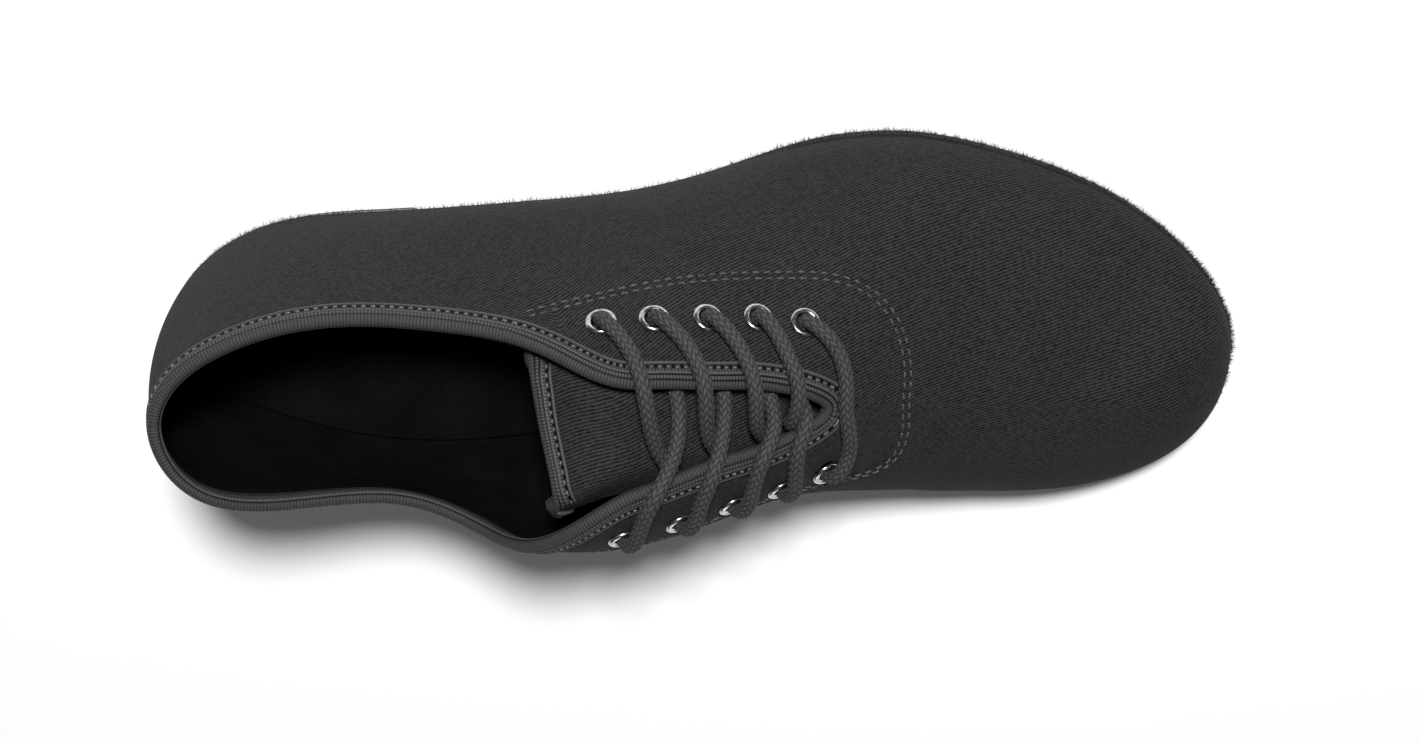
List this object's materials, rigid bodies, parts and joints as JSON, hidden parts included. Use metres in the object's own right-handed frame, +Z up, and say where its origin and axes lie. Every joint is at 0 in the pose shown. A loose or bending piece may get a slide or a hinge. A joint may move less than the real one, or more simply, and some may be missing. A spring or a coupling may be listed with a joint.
{
  "type": "latin dance shoe",
  "caption": "Left low-heeled dance shoe: hollow twill upper with a bound collar, tongue and criss-cross lace on a flexible suede sole; open for a foot.",
  "frame": {"origin": "middle of the shoe's length and width, on the floor it stands on", "axes": "+X towards the toe, +Y towards the outer (lateral) side, which is the wearer's left, +Z up"},
  "size_m": [0.2716, 0.0942, 0.0978],
  "materials": {
    "suede": "matte, brushed nap",
    "heel": "satin",
    "sock": "matte",
    "twill": "matte twill weave",
    "tape": "ribbed",
    "eyelet": "gunmetal, glossy",
    "lace": "braided"
  },
  "bodies": {
    "root": {"outsole": "suede", "heel": "heel", "insole": "sock", "upper": "twill", "collar_binding": "tape", "tongue": "twill", "tongue_binding": "tape", "eyelet_lateral_1": "eyelet", "eyelet_lateral_2": "eyelet", "eyelet_lateral_3": "eyelet", "eyelet_lateral_4": "eyelet", "eyelet_lateral_5": "eyelet", "eyelet_medial_1": "eyelet", "eyelet_medial_2": "eyelet", "eyelet_medial_3": "eyelet", "eyelet_medial_4": "eyelet", "eyelet_medial_5": "eyelet", "lace_cross_1": "lace", "lace_cross_2": "lace", "lace_cross_3": "lace", "lace_cross_4": "lace", "lace_bar": "lace"}
  },
  "joints": []
}
